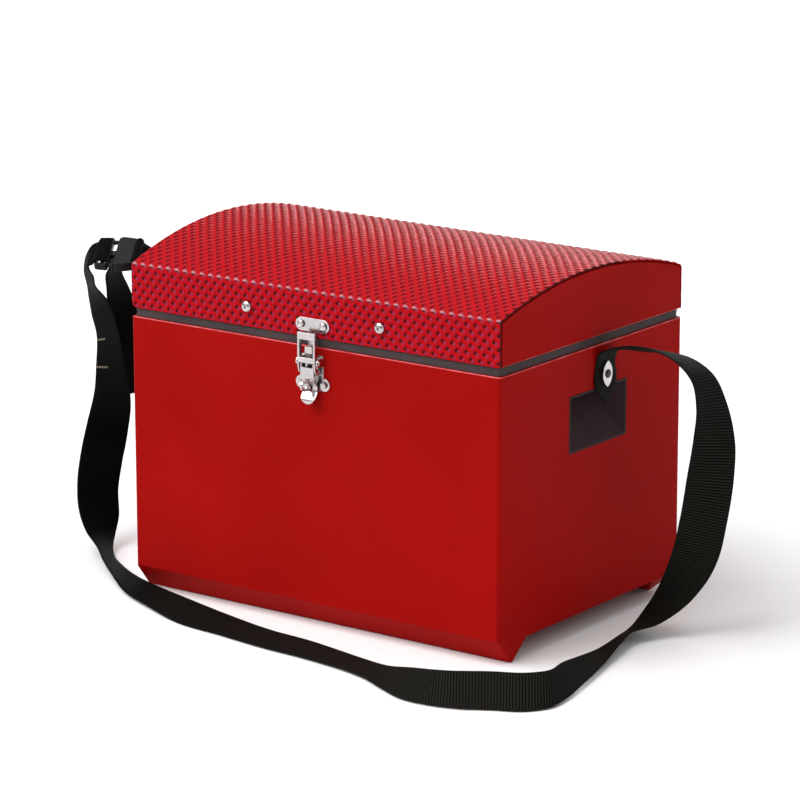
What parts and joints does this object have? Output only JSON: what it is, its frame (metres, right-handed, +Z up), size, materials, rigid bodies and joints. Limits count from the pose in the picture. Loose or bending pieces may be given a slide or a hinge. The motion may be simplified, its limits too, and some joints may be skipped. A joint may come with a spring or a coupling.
{
  "type": "hard-sided cool box with shoulder strap",
  "caption": "Boxy insulated cool box with a domed hinged lid, an over-centre draw latch with a padlock eye, side grips, low skids and a webbing shoulder strap with a buckle.",
  "frame": {"origin": "on the ground, midway between the front of the latch and the back of the hinge, 5.5 mm in front of the box's centre", "axes": "+Z up, +X to the right as seen from the front, the latch faces -Y and the hinge is at +Y"},
  "size_m": [0.6982, 0.4075, 0.323],
  "materials": {
    "red_moulding": "satin",
    "red_vinyl": "satin",
    "white_moulding": "satin",
    "dark_moulding": "matte",
    "foam": "matte",
    "gasket": "matte",
    "bright_steel": "polished",
    "plain_steel": "satin",
    "black_paint": "satin",
    "webbing": "matte",
    "black_plastic": "satin"
  },
  "bodies": {
    "box": {"body_shell": "red_moulding", "body_foam": "foam", "inner_liner": "white_moulding", "rim_gasket": "gasket", "grip_cup_left": "dark_moulding", "grip_cup_right": "dark_moulding", "hinge_leaf_body": "plain_steel", "hinge_pin": "plain_steel", "hinge_rivets_body": "plain_steel", "latch_base": "bright_steel", "latch_base_rivets": "bright_steel", "lever_pin": "bright_steel", "anchor_plate_left": "bright_steel", "anchor_plate_right": "bright_steel", "anchor_rivets": "black_paint", "anchor_washers": "plain_steel", "shoulder_strap": "webbing", "strap_tail": "webbing", "strap_stub": "webbing", "buckle_socket": "black_plastic", "buckle_prongs": "black_plastic"},
    "lid": {"lid_shell": "red_moulding", "lid_cover": "red_vinyl", "lid_foam": "foam", "lid_liner": "white_moulding", "lid_rivets": "bright_steel", "hinge_leaf_lid": "plain_steel", "hinge_rivets_lid": "plain_steel", "latch_keeper": "bright_steel", "keeper_rivets": "bright_steel"},
    "lever": {"latch_lever": "bright_steel", "claw_pin": "bright_steel"},
    "claw": {"latch_claw": "bright_steel"}
  },
  "joints": [
    {"name": "lid_hinge", "type": "hinge", "parent": "box", "child": "lid", "pos_m": [0, 0.1505, 0.257], "axis": [-1, 0, 0], "range_deg": [0, 180]},
    {"name": "lever_swing", "type": "hinge", "parent": "box", "child": "lever", "pos_m": [0.004, -0.1425, 0.2405], "axis": [-1, 0, 0], "range_deg": [0, 105]},
    {"name": "claw_swing", "type": "hinge", "parent": "lever", "child": "claw", "pos_m": [0.004, -0.1408, 0.2313], "axis": [-1, 0, 0], "range_deg": [-105, 0]}
  ],
  "couplings": [
    {"joint": "claw_swing", "follows": "lever_swing", "ratio": -1}
  ]
}
